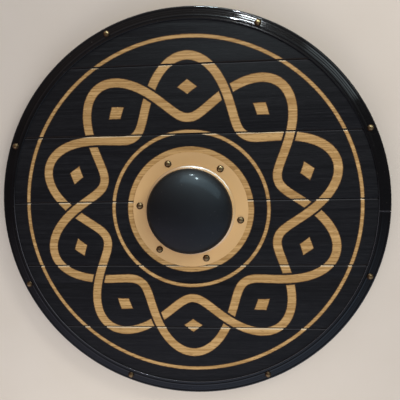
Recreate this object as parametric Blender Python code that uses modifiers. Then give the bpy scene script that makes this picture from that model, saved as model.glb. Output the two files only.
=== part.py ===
"""A wooden round shield with a steel boss and rim, lying on its back.

The painted face looks up (+Z), the top of the shield is +Y and the planks run along X. The origin is
the middle of the shield on the surface that its back lies on. All sizes are in metres.
"""

import math

import bmesh
import bpy
from mathutils import Matrix

# Board
SHIELD_RADIUS = 0.305        # to the outside of the rim
PLANK_THICK = 0.010
PLANK_COUNT = 6
TOP_PLANK_WIDTH = 0.0816     # the planks between these two share the rest evenly
BOTTOM_PLANK_WIDTH = 0.1101
GROOVE_WIDTH = 0.0038        # of the V where two planks meet, at the face
HAND_HOLE_LEDGE = 0.0045     # from the inside of the boss to the edge of the hand hole
FIT_GAP = 0.0003             # between two pieces that touch
HOLE_CLEARANCE = 0.0004      # round a shank in its hole

# Rim, a folded channel over the edge of the board
RIM_WIDTH = 0.019
RIM_SHEET = 0.0015
RIM_EDGE_ROUND = 0.0032
RIM_SEAM_ANGLE = -1.0        # degrees from +X
RIM_SEAM_WIDTH = 0.0008

# Boss, a spun dome on a flat flange
BOSS_SHEET = 0.0015
NECK_RADIUS = 0.066
NECK_FILLET = 0.005
NECK_HEIGHT = 0.0138         # from the flange to the foot of the dome
DOME_RISE = 0.030
FLANGE_FLAT = 0.0195         # from the end of the fillet to the edge of the flange

# Back: the grip and two battens, which the shield lies on
BAR_THICK = 0.016
BAR_TIP_THICK = 0.008
BAR_ROUND = 0.004
GRIP_WIDTH = 0.032
GRIP_END_GAP = 0.016         # from the grip's end to the rim
GRIP_TAPER = 0.090
HANDHOLD_RISE = 0.008        # how far the handhold stands up into the hand hole
HANDHOLD_END_GAP = 0.006     # from the handhold's foot to the edge of the hand hole
HANDHOLD_RAMP = 0.010
BATTEN_WIDTH = 0.032
BATTEN_INSET = 0.155         # from the outside of the rim to the batten's middle
BATTEN_END_GAP = 0.004
BATTEN_TAPER = 0.012

# Rivets of the boss
BOSS_RIVET_INSET = 0.009     # from the end of the fillet to the rivets' circle
BOSS_RIVET_ANGLES = (114.0, 53.0, -11.6, -72.7, -129.1, 174.1)   # drilled by eye, so not quite even
BOSS_RIVET_HEAD_RADIUS = 0.0054
BOSS_RIVET_HEAD_HEIGHT = 0.0030

# Rivets of the rim
RIM_RIVET_COUNT = 8
RIM_RIVET_FIRST_ANGLE = 23.9
RIM_RIVET_HEAD_RADIUS = 0.0049
RIM_RIVET_HEAD_HEIGHT = 0.0027

# What both kinds of rivet share
RIVET_SHANK_RADIUS = 0.0020
RIVET_TAIL_RADIUS = 0.0040
RIVET_TAIL_HEIGHT = 0.0016

# Countersunk screws from behind
SCREW_SHANK_RADIUS = 0.0018
SCREW_HEAD_RADIUS = 0.0038
SCREW_HEAD_HEIGHT = 0.0025
SCREW_BITE = 0.0060          # how deep it goes into a plank
SCREW_SHORTEST_SPAN = 0.040  # a plank that a bar crosses for less than this gets no screw

# Facets
RIM_SEGMENTS = 72
BOSS_SEGMENTS = 48
RIVET_SEGMENTS = 10
SCREW_SEGMENTS = 8
DOME_STEPS = 6
INSIDE_DOME_STEPS = 4
FILLET_STEPS = 3
HEAD_STEPS = 3
EDGE_STEPS = 2
CUTTER_OVERRUN = 0.010       # how far a cutter reaches past what it cuts

# Levels, from the resting surface up
PLANK_BACK = BAR_THICK + FIT_GAP
PLANK_FACE = PLANK_BACK + PLANK_THICK
FLANGE_TOP = PLANK_FACE + FIT_GAP + BOSS_SHEET
RIM_TOP = PLANK_FACE + FIT_GAP + RIM_SHEET
RIM_BOTTOM = PLANK_BACK - FIT_GAP - RIM_SHEET
SCREW_TIP = PLANK_BACK + SCREW_BITE

# Radii and places that follow
BOARD_RADIUS = SHIELD_RADIUS - RIM_SHEET - FIT_GAP
RIM_INNER_RADIUS = SHIELD_RADIUS - RIM_WIDTH
RIM_RIVET_CIRCLE = SHIELD_RADIUS - RIM_WIDTH / 2
FILLET_END_RADIUS = NECK_RADIUS + NECK_FILLET
FLANGE_RADIUS = FILLET_END_RADIUS + FLANGE_FLAT
BOSS_RIVET_CIRCLE = FILLET_END_RADIUS + BOSS_RIVET_INSET
HAND_HOLE_RADIUS = NECK_RADIUS - BOSS_SHEET - HAND_HOLE_LEDGE
BATTEN_X = SHIELD_RADIUS - BATTEN_INSET


def clear_scene():
    for item in list(bpy.data.objects):
        bpy.data.objects.remove(item)


def new_collection(name):
    collection = bpy.data.collections.new(name)
    bpy.context.scene.collection.children.link(collection)
    return collection


def paint(name, colour, roughness, metallic=0.0):
    material = bpy.data.materials.new(name)
    material.use_nodes = True
    shader = material.node_tree.nodes["Principled BSDF"]
    shader.inputs["Base Color"].default_value = (*colour, 1.0)
    shader.inputs["Roughness"].default_value = roughness
    shader.inputs["Metallic"].default_value = metallic
    return material


def add_part(name, mesh, collection, material):
    part = bpy.data.objects.new(name, mesh)
    collection.objects.link(part)
    part.data.materials.clear()
    part.data.materials.append(material)
    return part


def add_cutter(name, shape, collection):
    mesh = bpy.data.meshes.new(name)
    shape.to_mesh(mesh)
    shape.free()
    cutter = bpy.data.objects.new(name, mesh)
    collection.objects.link(cutter)
    cutter.hide_render = True
    cutter.display_type = "WIRE"
    return cutter


def cut(part, cutter, operation="DIFFERENCE"):
    boolean = part.modifiers.new(cutter.name, "BOOLEAN")
    boolean.operation = operation
    boolean.solver = "EXACT"
    boolean.object = cutter


def polar(radius, degrees):
    angle = math.radians(degrees)
    return (radius * math.cos(angle), radius * math.sin(angle))


def arc(centre, radii, first, last, steps):
    """Points of an elliptic arc in a profile, from one angle to another in degrees."""
    points = []
    for step in range(steps + 1):
        angle = math.radians(first + (last - first) * step / steps)
        points.append((centre[0] + radii[0] * math.cos(angle), centre[1] + radii[1] * math.sin(angle)))
    return points


def profile_mesh(name, points, closed):
    """A profile of (radius, height) points, which a Screw modifier turns about Z."""
    shape = bmesh.new()
    verts = [shape.verts.new((radius, 0.0, height)) for radius, height in points]
    for first, second in zip(verts, verts[1:]):
        shape.edges.new((first, second))
    if closed:
        shape.edges.new((verts[-1], verts[0]))
    mesh = bpy.data.meshes.new(name)
    shape.to_mesh(mesh)
    shape.free()
    return mesh


def turn(part, segments):
    screw = part.modifiers.new("Turn", "SCREW")
    screw.axis = "Z"
    screw.angle = math.tau
    screw.steps = segments
    screw.render_steps = segments
    screw.use_merge_vertices = True
    screw.merge_threshold = 0.00001


def cylinders(centres, radius, bottom, top, segments):
    shape = bmesh.new()
    for x, y in centres:
        bmesh.ops.create_cone(
            shape,
            cap_ends=True,
            segments=segments,
            radius1=radius,
            radius2=radius,
            depth=top - bottom,
            matrix=Matrix.Translation((x, y, (bottom + top) / 2)),
        )
    return shape


def joint_lines():
    """Where two planks meet, from the top of the shield down."""
    top = BOARD_RADIUS - TOP_PLANK_WIDTH
    bottom = BOTTOM_PLANK_WIDTH - BOARD_RADIUS
    pitch = (top - bottom) / (PLANK_COUNT - 2)
    return [top - pitch * number for number in range(PLANK_COUNT - 1)]


def plank_spans():
    """The low and high edge of each plank, from the top of the shield down."""
    edges = [BOARD_RADIUS, *joint_lines(), -BOARD_RADIUS]
    return [(low, high) for high, low in zip(edges, edges[1:])]


def plank_mesh(name, low, high):
    """A board with its long edges chamfered where it meets another."""
    meets_above = high < BOARD_RADIUS
    meets_below = low > -BOARD_RADIUS
    top = high - FIT_GAP / 2 if meets_above else high + CUTTER_OVERRUN
    bottom = low + FIT_GAP / 2 if meets_below else low - CUTTER_OVERRUN
    length = 2 * (BOARD_RADIUS + CUTTER_OVERRUN)
    shape = bmesh.new()
    bmesh.ops.create_cube(shape, size=1.0)
    bmesh.ops.scale(shape, vec=(length, top - bottom, PLANK_THICK), verts=shape.verts)
    centre = (0.0, (top + bottom) / 2, PLANK_BACK + PLANK_THICK / 2)
    bmesh.ops.translate(shape, vec=centre, verts=shape.verts)
    chamfered = []
    for edge in shape.edges:
        middle = (edge.verts[0].co + edge.verts[1].co) / 2
        along_face = abs(middle.x) < FIT_GAP and middle.z > PLANK_FACE - FIT_GAP
        if along_face and (meets_above if middle.y > (top + bottom) / 2 else meets_below):
            chamfered.append(edge)
    bmesh.ops.bevel(
        shape,
        geom=chamfered,
        offset=(GROOVE_WIDTH - FIT_GAP) / 2,
        offset_type="OFFSET",
        segments=1,
        profile=0.5,
        affect="EDGES",
        material=-1,
    )
    mesh = bpy.data.meshes.new(name)
    shape.to_mesh(mesh)
    shape.free()
    return mesh


def add_planks(parts, material, outline, holes):
    for number, (low, high) in enumerate(plank_spans(), start=1):
        name = f"plank_{number}"
        plank = add_part(name, plank_mesh(name, low, high), parts, material)
        cut(plank, outline, "INTERSECT")
        for cutter in holes:
            cut(plank, cutter)


def rim_profile():
    """The channel's section: over the face, round the edge, over the back, and home along its inside."""
    round_in = SHIELD_RADIUS - RIM_EDGE_ROUND
    inside_radius = SHIELD_RADIUS - RIM_SHEET
    both = (RIM_EDGE_ROUND, RIM_EDGE_ROUND)
    face_corner = arc((round_in, RIM_TOP - RIM_EDGE_ROUND), both, 90, 0, EDGE_STEPS)
    back_corner = arc((round_in, RIM_BOTTOM + RIM_EDGE_ROUND), both, 0, -90, EDGE_STEPS)
    return [
        (RIM_INNER_RADIUS, RIM_TOP),
        *face_corner,
        *back_corner,
        (RIM_INNER_RADIUS, RIM_BOTTOM),
        (RIM_INNER_RADIUS, RIM_BOTTOM + RIM_SHEET),
        (inside_radius, RIM_BOTTOM + RIM_SHEET),
        (inside_radius, RIM_TOP - RIM_SHEET),
        (RIM_INNER_RADIUS, RIM_TOP - RIM_SHEET),
    ]


def rim_seam():
    """A thin blade that parts the rim where its two ends meet."""
    shape = bmesh.new()
    bmesh.ops.create_cube(shape, size=1.0)
    size = (RIM_WIDTH + 2 * CUTTER_OVERRUN, RIM_SEAM_WIDTH, RIM_TOP - RIM_BOTTOM + 2 * CUTTER_OVERRUN)
    bmesh.ops.scale(shape, vec=size, verts=shape.verts)
    bmesh.ops.translate(shape, vec=(RIM_RIVET_CIRCLE, 0.0, (RIM_TOP + RIM_BOTTOM) / 2), verts=shape.verts)
    spin = Matrix.Rotation(math.radians(RIM_SEAM_ANGLE), 3, "Z")
    bmesh.ops.rotate(shape, cent=(0.0, 0.0, 0.0), matrix=spin, verts=shape.verts)
    return shape


def boss_profile():
    """Down the outside of the dome to the edge of the flange, and back up the inside."""
    foot = FLANGE_TOP + NECK_HEIGHT
    fillet_centre = (FILLET_END_RADIUS, FLANGE_TOP + NECK_FILLET)
    wide = NECK_FILLET + BOSS_SHEET
    inside_radii = (NECK_RADIUS - BOSS_SHEET, DOME_RISE - BOSS_SHEET)
    return [
        *arc((0.0, foot), (NECK_RADIUS, DOME_RISE), 90, 0, DOME_STEPS),
        *arc(fillet_centre, (NECK_FILLET, NECK_FILLET), 180, 270, FILLET_STEPS),
        (FLANGE_RADIUS, FLANGE_TOP),
        (FLANGE_RADIUS, FLANGE_TOP - BOSS_SHEET),
        *arc(fillet_centre, (wide, wide), 270, 180, FILLET_STEPS),
        *arc((0.0, foot), inside_radii, 0, 90, INSIDE_DOME_STEPS),
    ]


def rivet_profile(head_radius, head_height, length):
    """A domed head at height 0, a shank below it and a flattened tail."""
    return [
        *arc((0.0, 0.0), (head_radius, head_height), 90, 0, HEAD_STEPS),
        (RIVET_SHANK_RADIUS, 0.0),
        (RIVET_SHANK_RADIUS, -length),
        (RIVET_TAIL_RADIUS, -length),
        (RIVET_SHANK_RADIUS, -length - RIVET_TAIL_HEIGHT),
        (0.0, -length - RIVET_TAIL_HEIGHT),
    ]


def add_rivets(parts, material, name, centres, profile, seat):
    mesh = profile_mesh(name, profile, closed=False)
    for number, (x, y) in enumerate(centres, start=1):
        rivet = add_part(f"{name}_{number}", mesh, parts, material)
        rivet.location = (x, y, seat)
        turn(rivet, RIVET_SEGMENTS)


def underside(y, half_length, taper):
    """How high a bar's underside is at y: level, then rising to its thin tips."""
    along = max(0.0, abs(y) - (half_length - taper)) / taper
    return along * (BAR_THICK - BAR_TIP_THICK)


def bar_outline(half_length, taper, handhold):
    """The bar from the side, as (along, up) points; the handhold is None or half its length."""
    level = half_length - taper
    tip = BAR_THICK - BAR_TIP_THICK
    right = [(level, 0.0), (half_length, tip), (half_length, BAR_THICK)]
    if handhold:
        right += [(handhold, BAR_THICK), (handhold - HANDHOLD_RAMP, BAR_THICK + HANDHOLD_RISE)]
    return right + [(-along, up) for along, up in reversed(right)]


def extrude_outline(name, points, width):
    """A flat outline with a thickness, as a mesh whose width lies along X and its length along Y."""
    curve = bpy.data.curves.new(name, "CURVE")
    curve.dimensions = "2D"
    curve.fill_mode = "BOTH"
    curve.extrude = width / 2
    spline = curve.splines.new("POLY")
    spline.points.add(len(points) - 1)
    for point, (along, up) in zip(spline.points, points):
        point.co = (along, up, 0.0, 1.0)
    spline.use_cyclic_u = True
    guide = bpy.data.objects.new(name, curve)
    bpy.context.scene.collection.objects.link(guide)
    bpy.context.view_layer.update()
    evaluated = guide.evaluated_get(bpy.context.evaluated_depsgraph_get())
    mesh = bpy.data.meshes.new_from_object(evaluated)
    bpy.data.objects.remove(guide)
    lengthwise_to_y = Matrix.Rotation(math.radians(90), 4, "Z") @ Matrix.Rotation(math.radians(90), 4, "X")
    mesh.transform(lengthwise_to_y)
    return mesh


def bar_mesh(name, width, half_length, taper, handhold=None):
    """A bar with its lower long edges rounded, and those of its handhold."""
    mesh = extrude_outline(name, bar_outline(half_length, taper, handhold), width)
    shape = bmesh.new()
    shape.from_mesh(mesh)
    bmesh.ops.remove_doubles(shape, verts=shape.verts, dist=0.00001)
    bmesh.ops.dissolve_limit(shape, angle_limit=math.radians(1), verts=shape.verts, edges=shape.edges)
    rounded = []
    for edge in shape.edges:
        first, second = (vert.co for vert in edge.verts)
        lengthwise = abs(first.x - second.x) < FIT_GAP and abs(first.y - second.y) > FIT_GAP
        lower = max(first.z, second.z) < BAR_THICK - FIT_GAP
        raised = max(first.z, second.z) > BAR_THICK + FIT_GAP
        if lengthwise and (lower or raised):
            rounded.append(edge)
    bmesh.ops.bevel(
        shape,
        geom=rounded,
        offset=BAR_ROUND,
        offset_type="OFFSET",
        segments=2,
        profile=0.5,
        affect="EDGES",
        material=-1,
    )
    shape.to_mesh(mesh)
    shape.free()
    return mesh


def screw_stations(half_length, hole_radius):
    """Where a bar is screwed to the planks: once to each plank that it crosses far enough."""
    stations = []
    for low, high in plank_spans():
        low, high = max(low, -half_length), min(high, half_length)
        if hole_radius and high > hole_radius > low:
            low = hole_radius
        if hole_radius and low < -hole_radius < high:
            high = -hole_radius
        if high - low >= SCREW_SHORTEST_SPAN:
            stations.append((low + high) / 2)
    return stations


def add_screws(parts, material, name, x, stations, half_length, taper):
    """Countersunk screws, point up, with their heads just inside the bar's underside."""
    for number, y in enumerate(stations, start=1):
        head = underside(y, half_length, taper) + FIT_GAP
        points = [
            (0.0, SCREW_TIP),
            (SCREW_SHANK_RADIUS, SCREW_TIP - 2 * SCREW_SHANK_RADIUS),
            (SCREW_SHANK_RADIUS, head + SCREW_HEAD_HEIGHT),
            (SCREW_HEAD_RADIUS, head),
            (0.0, head),
        ]
        screw_name = f"{name}_{number}"
        screw = add_part(screw_name, profile_mesh(screw_name, points, closed=False), parts, material)
        screw.location = (x, y, 0.0)
        turn(screw, SCREW_SEGMENTS)


def countersinks(name, x, stations, half_length, taper, cutters):
    """The cones that a bar's screw heads sit in."""
    slope = (SCREW_HEAD_RADIUS - SCREW_SHANK_RADIUS) / SCREW_HEAD_HEIGHT
    shape = bmesh.new()
    for y in stations:
        head = underside(y, half_length, taper) + FIT_GAP
        bottom = head - SCREW_HEAD_HEIGHT
        top = head + SCREW_HEAD_HEIGHT + HOLE_CLEARANCE
        bmesh.ops.create_cone(
            shape,
            cap_ends=True,
            segments=SCREW_SEGMENTS,
            radius1=SCREW_SHANK_RADIUS + HOLE_CLEARANCE + slope * (top - bottom),
            radius2=SCREW_SHANK_RADIUS + HOLE_CLEARANCE,
            depth=top - bottom,
            matrix=Matrix.Translation((x, y, (bottom + top) / 2)),
        )
    return add_cutter(name, shape, cutters)


def build():
    clear_scene()
    parts = new_collection("Round shield")
    cutters = new_collection("Cutters")

    stained_wood = paint("Black stained wood", (0.012, 0.011, 0.013), 0.45)
    black_steel = paint("Black enamelled steel", (0.010, 0.010, 0.011), 0.25)
    gold_steel = paint("Painted steel boss", (0.42, 0.27, 0.13), 0.35)
    brass = paint("Antique brass", (0.24, 0.17, 0.08), 0.35, metallic=1.0)
    bare_wood = paint("Bare ash wood", (0.50, 0.33, 0.18), 0.55)
    zinc = paint("Zinc-plated steel", (0.55, 0.54, 0.52), 0.35, metallic=1.0)

    boss_rivets = [polar(BOSS_RIVET_CIRCLE, angle) for angle in BOSS_RIVET_ANGLES]
    step = 360.0 / RIM_RIVET_COUNT
    rim_angles = [RIM_RIVET_FIRST_ANGLE + step * number for number in range(RIM_RIVET_COUNT)]
    rim_rivets = [polar(RIM_RIVET_CIRCLE, angle) for angle in rim_angles]

    grip_half = RIM_INNER_RADIUS - GRIP_END_GAP
    handhold = math.sqrt(HAND_HOLE_RADIUS**2 - (GRIP_WIDTH / 2) ** 2) - HANDHOLD_END_GAP
    batten_reach = RIM_INNER_RADIUS - BATTEN_END_GAP
    batten_half = math.sqrt(batten_reach**2 - (BATTEN_X + BATTEN_WIDTH / 2) ** 2)
    bars = [
        ("grip", 0.0, GRIP_WIDTH, grip_half, GRIP_TAPER, handhold, HAND_HOLE_RADIUS),
        ("left_batten", -BATTEN_X, BATTEN_WIDTH, batten_half, BATTEN_TAPER, None, 0.0),
        ("right_batten", BATTEN_X, BATTEN_WIDTH, batten_half, BATTEN_TAPER, None, 0.0),
    ]
    stations = {name: screw_stations(half, hole) for name, _, _, half, _, _, hole in bars}
    screw_centres = [(x, y) for name, x, *_ in bars for y in stations[name]]

    middle = [(0.0, 0.0)]
    over, under = PLANK_FACE + CUTTER_OVERRUN, PLANK_BACK - CUTTER_OVERRUN
    disc = cylinders(middle, BOARD_RADIUS, under, over, RIM_SEGMENTS)
    outline = add_cutter("board outline", disc, cutters)
    hole = cylinders(middle, HAND_HOLE_RADIUS, under, over, BOSS_SEGMENTS)
    hand_hole = add_cutter("hand hole", hole, cutters)
    drilled = cylinders(
        boss_rivets + rim_rivets, RIVET_SHANK_RADIUS + HOLE_CLEARANCE, under, over, RIVET_SEGMENTS
    )
    rivet_holes = add_cutter("rivet holes", drilled, cutters)
    drilled = cylinders(
        screw_centres,
        SCREW_SHANK_RADIUS + HOLE_CLEARANCE,
        -CUTTER_OVERRUN,
        SCREW_TIP + HOLE_CLEARANCE,
        SCREW_SEGMENTS,
    )
    screw_holes = add_cutter("screw holes", drilled, cutters)
    seam = add_cutter("rim seam", rim_seam(), cutters)

    add_planks(parts, stained_wood, outline, [hand_hole, rivet_holes, screw_holes])

    rim = add_part("rim", profile_mesh("rim", rim_profile(), closed=True), parts, black_steel)
    turn(rim, RIM_SEGMENTS)
    cut(rim, rivet_holes)
    cut(rim, seam)

    boss = add_part("boss", profile_mesh("boss", boss_profile(), closed=False), parts, gold_steel)
    turn(boss, BOSS_SEGMENTS)
    cut(boss, rivet_holes)

    seat = FLANGE_TOP + FIT_GAP
    section = rivet_profile(BOSS_RIVET_HEAD_RADIUS, BOSS_RIVET_HEAD_HEIGHT, seat - (PLANK_BACK - FIT_GAP))
    add_rivets(parts, brass, "boss_rivet", boss_rivets, section, seat)
    seat = RIM_TOP + FIT_GAP
    section = rivet_profile(RIM_RIVET_HEAD_RADIUS, RIM_RIVET_HEAD_HEIGHT, seat - (RIM_BOTTOM - FIT_GAP))
    add_rivets(parts, brass, "rim_rivet", rim_rivets, section, seat)

    for name, x, width, half, taper, hold, _ in bars:
        bar = add_part(name, bar_mesh(name, width, half, taper, hold), parts, bare_wood)
        bar.location.x = x
        cut(bar, screw_holes)
        cut(bar, countersinks(f"{name} countersinks", x, stations[name], half, taper, cutters))
        add_screws(parts, zinc, f"{name}_screw", x, stations[name], half, taper)


build()
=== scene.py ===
# %% [markdown]
# A wooden round shield
#
# Six sawn boards are glued edge to edge and cut to a circle. A folded steel channel holds the edge,
# a spun steel boss covers the hand hole, and rivets go through both. Across the back run the grip and
# two battens. This lesson dresses the plain solids of that shield: it models the finer form of each
# piece with bmesh operators and gives every surface a finish made of nodes, with no picture files.
# The solids are loaded first, and everything after that takes its place and size from them.

# %% Load the plain solids
from math import asin, cos, degrees, pi, radians, sin, tan

import bmesh
import bpy
from mathutils import Matrix, Vector


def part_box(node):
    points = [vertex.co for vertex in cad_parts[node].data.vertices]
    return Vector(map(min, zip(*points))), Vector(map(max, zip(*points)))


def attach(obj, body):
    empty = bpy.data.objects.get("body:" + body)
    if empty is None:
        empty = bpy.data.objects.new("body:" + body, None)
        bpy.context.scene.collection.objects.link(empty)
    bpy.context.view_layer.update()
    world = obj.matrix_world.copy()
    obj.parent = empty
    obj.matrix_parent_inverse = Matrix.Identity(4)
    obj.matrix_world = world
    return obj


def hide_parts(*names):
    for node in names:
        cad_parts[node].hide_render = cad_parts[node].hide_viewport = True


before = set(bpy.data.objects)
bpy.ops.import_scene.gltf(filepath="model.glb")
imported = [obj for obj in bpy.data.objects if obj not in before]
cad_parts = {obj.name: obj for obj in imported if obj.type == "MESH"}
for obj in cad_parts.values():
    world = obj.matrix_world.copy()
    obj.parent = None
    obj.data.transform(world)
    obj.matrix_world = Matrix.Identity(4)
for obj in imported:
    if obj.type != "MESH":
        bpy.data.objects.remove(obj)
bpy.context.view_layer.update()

print("solids loaded:", len(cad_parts))

# %% [markdown]
# Levels that the pieces share
#
# The shield lies on its back, with its painted face up. The origin is under its middle, +Y is its top
# and the boards run along X. A few heights and radii place everything else, so they are read from the
# boxes of the solids once and given names here. All sizes are in metres.

# %% Read heights and radii from the solids
board_back, board_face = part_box("plank_3")[0].z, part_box("plank_3")[1].z
rim_bottom, rim_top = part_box("rim")[0].z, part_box("rim")[1].z
shield_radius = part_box("rim")[1].x
boss_under, boss_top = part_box("boss")[0].z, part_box("boss")[1].z
flange_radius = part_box("boss")[1].x
print("board face at", round(board_face, 4), "and the top of the boss at", round(boss_top, 4))

# %% [markdown]
# The camera
#
# The photograph was taken from a little above and to the right of the shield's middle, about sixty
# centimetres away, with the wide lens of a telephone. The place, the aim and the lens come from fitting
# the shield's round outline and the joints of its boards. A camera looks along its own -Z, so its three
# axes are worked out from the view direction and a hint of which way is up, and set as one matrix.

# %% Place the camera
CAMERA_PLACE = Vector((0.0608, 0.0832, board_face + 0.5823))
CAMERA_AIM = Vector((0.0156, 0.0160, board_face))
CAMERA_TURN = radians(1.34)       # the photograph leans this much clockwise
CAMERA_LENS = 33.9                # in millimetres, on a sensor 36 mm wide

towards_camera = (CAMERA_PLACE - CAMERA_AIM).normalized()
camera_right = Vector((sin(CAMERA_TURN), cos(CAMERA_TURN), 0.0)).cross(towards_camera).normalized()
camera_up = towards_camera.cross(camera_right)
camera = bpy.data.objects.new("camera", bpy.data.cameras.new("camera"))
camera.data.lens = CAMERA_LENS
camera.data.clip_start = 0.01
camera.matrix_world = Matrix.Translation(CAMERA_PLACE) @ Matrix(
    (camera_right, camera_up, towards_camera)
).transposed().to_4x4()
bpy.context.scene.collection.objects.link(camera)
bpy.context.scene.camera = camera
print("camera looks down from", round(CAMERA_PLACE.z, 3), "m")

# %% [markdown]
# Small helpers for nodes
#
# A material is a net of nodes, and writing it by hand soon hides the idea behind lines that only join
# sockets. A few helpers keep it readable. `feed` joins a socket to another node's output or gives it a
# plain value, and the others place a node or two and hand back what comes out, so that a finish can be
# written almost like a formula. The first ones are for numbers and places.

# %% Helpers for numbers and places
def feed(tree, socket, value):
    """Joins a socket to another node's output, or gives it a plain number, vector or colour."""
    if isinstance(value, bpy.types.NodeSocket):
        tree.links.new(value, socket)
    else:
        socket.default_value = value


def calc(tree, operation, first, second=0.0, third=0.0):
    """One step of arithmetic on numbers."""
    node = tree.nodes.new("ShaderNodeMath")
    node.operation = operation
    for socket, value in zip(node.inputs, (first, second, third)):
        feed(tree, socket, value)
    return node.outputs[0]


def stretch(tree, place, factors, shift=(0.0, 0.0, 0.0)):
    """A place multiplied by one factor for each axis, and then moved."""
    node = tree.nodes.new("ShaderNodeVectorMath")
    node.operation = "MULTIPLY_ADD"
    for socket, value in zip(node.inputs, (place, factors, shift)):
        feed(tree, socket, value)
    return node.outputs[0]


def object_place(tree):
    """The place on the object in its own metres."""
    return tree.nodes.new("ShaderNodeTexCoord").outputs["Object"]


def parts_of(tree, place):
    """The X, Y and Z of a place or a direction."""
    node = tree.nodes.new("ShaderNodeSeparateXYZ")
    feed(tree, node.inputs[0], place)
    return node.outputs


def from_axis(tree, axes):
    """How far a place is from the Z axis."""
    square = calc(tree, "MULTIPLY", axes["Y"], axes["Y"])
    return calc(tree, "SQRT", calc(tree, "MULTIPLY_ADD", axes["X"], axes["X"], square))


place_helpers = (feed, calc, stretch, object_place, parts_of, from_axis)
print("helpers:", ", ".join(helper.__name__ for helper in place_helpers))

# %% [markdown]
# Noise, fades and colours
#
# A finish needs three more things: noise, which makes lumps and streaks out of a place, a fade, which
# turns a range of numbers into a soft mask, and a mix of two colours by such a mask. Colours are written
# as they are read off a screen, so they have to be turned into amounts of light first.

# %% Helpers for noise, fades and colours
def clouds(tree, place, detail=2.0, roughness=0.5):
    """Smooth noise from 0 to 1, with lumps about one unit of the place across."""
    node = tree.nodes.new("ShaderNodeTexNoise")
    feed(tree, node.inputs["Vector"], place)
    node.inputs["Scale"].default_value = 1.0
    node.inputs["Detail"].default_value = detail
    node.inputs["Roughness"].default_value = roughness
    return node.outputs["Fac"]


def even_clouds(tree, place, lumps, detail, shift=(0.0, 0.0, 0.0)):
    """Smooth noise with the same number of lumps to the metre every way."""
    return clouds(tree, stretch(tree, place, (lumps, lumps, lumps), shift), detail)


def fade(tree, value, start, end, low=0.0, high=1.0):
    """Runs smoothly from low to high while the value goes from start to end."""
    node = tree.nodes.new("ShaderNodeMapRange")
    node.interpolation_type = "SMOOTHSTEP"
    feed(tree, node.inputs["Value"], value)
    for label, bound in (("From Min", start), ("From Max", end), ("To Min", low), ("To Max", high)):
        feed(tree, node.inputs[label], bound)
    return node.outputs["Result"]


def tint(tree, amount, first, second):
    """A colour between two: the first where the amount is 0, the second where it is 1."""
    node = tree.nodes.new("ShaderNodeMix")
    node.data_type = "RGBA"
    # Sockets for numbers, vectors and colours share their names here, so they go by index.
    feed(tree, node.inputs[0], amount)
    feed(tree, node.inputs[6], first)
    feed(tree, node.inputs[7], second)
    return node.outputs[2]


def screen_colour(red, green, blue):
    """A colour as it is read off a screen, 0 to 255, turned into the light that nodes work with."""
    def light(level):
        level /= 255
        return level / 12.92 if level <= 0.04045 else ((level + 0.055) / 1.055) ** 2.4

    return (light(red), light(green), light(blue), 1.0)


print("middle grey of a screen is", round(screen_colour(128, 128, 128)[0], 3), "in light")

# %% [markdown]
# Light for a dark, glossy thing
#
# Black enamel shows lamps as bright shapes and everything else as darkness, so what stands round the
# shield matters more than the lamps' strength. The sky is painted as a soft room: nearly black overhead,
# grey towards the top of the shield and cool below it. A ramp of colours over the direction's Y does
# that, and the direction's X makes the left warmer. Rays straight from the camera get one pale colour
# instead, which the Light Path node picks out. Colours are shown as they are, without a film look.

# %% Sky and colour display
SKY_COLOURS = (                   # the direction's Y, and the light from there
    (-1.00, (0.66, 0.82, 1.00)),
    (-0.54, (0.50, 0.68, 0.94)),
    (-0.30, (0.22, 0.27, 0.34)),
    (-0.10, (0.07, 0.07, 0.08)),
    (0.08, (0.07, 0.07, 0.07)),
    (0.28, (0.26, 0.27, 0.26)),
    (0.60, (0.34, 0.40, 0.42)),
    (1.00, (0.50, 0.60, 0.64)),
)
LEFT_TINT = (1.10, 0.80, 0.76, 1.0)      # the sky's colours are multiplied by this on the left
RIGHT_TINT = (0.95, 0.95, 0.95, 1.0)
SIDE_BLEND = (-0.7, 0.7)          # the left tint is full below the first X, the right above the second
BACKDROP = (0.56, 0.52, 0.48, 1.0)       # what the camera itself sees of the sky

world = bpy.data.worlds.new("pale room")
world.use_nodes = True
bpy.context.scene.world = world
sky = world.node_tree
ways = parts_of(sky, sky.nodes.new("ShaderNodeTexCoord").outputs["Generated"])
ramp = sky.nodes.new("ShaderNodeValToRGB")
ramp.color_ramp.interpolation = "EASE"
while len(ramp.color_ramp.elements) < len(SKY_COLOURS):
    ramp.color_ramp.elements.new(1.0)
for stop, (y, colour) in zip(ramp.color_ramp.elements, SKY_COLOURS):
    stop.position = (y + 1) / 2   # Y runs from -1 to 1, and a ramp from 0 to 1
    stop.color = (*colour, 1.0)
feed(sky, ramp.inputs[0], calc(sky, "MULTIPLY_ADD", ways["Y"], 0.5, 0.5))
side_tint = tint(sky, fade(sky, ways["X"], *SIDE_BLEND), LEFT_TINT, RIGHT_TINT)
tinted = sky.nodes.new("ShaderNodeVectorMath")
tinted.operation = "MULTIPLY"
feed(sky, tinted.inputs[0], ramp.outputs["Color"])
feed(sky, tinted.inputs[1], side_tint)
straight = sky.nodes.new("ShaderNodeLightPath").outputs["Is Camera Ray"]
feed(sky, sky.nodes["Background"].inputs["Color"], tint(sky, straight, tinted.outputs[0], BACKDROP))
bpy.context.scene.view_settings.view_transform = "Standard"
print("sky painted with", len(SKY_COLOURS), "colours")

# %% [markdown]
# Lamps
#
# A lamp does two jobs: it lights matt surfaces and it shows as a shape in glossy ones. A studio keeps
# the two apart with polarising filters, and here each lamp has a switch for either. All but one are flat
# panels, set at a bearing round the shield and a rise above its boards and turned to face it.

# %% Helpers for lamps
def switch(lamp, matt, gloss):
    """Sets whether a lamp lights matt surfaces and whether it shows in glossy ones."""
    lamp.visible_camera = False
    lamp.visible_diffuse = matt
    lamp.visible_glossy = gloss
    bpy.context.scene.collection.objects.link(lamp)


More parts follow.
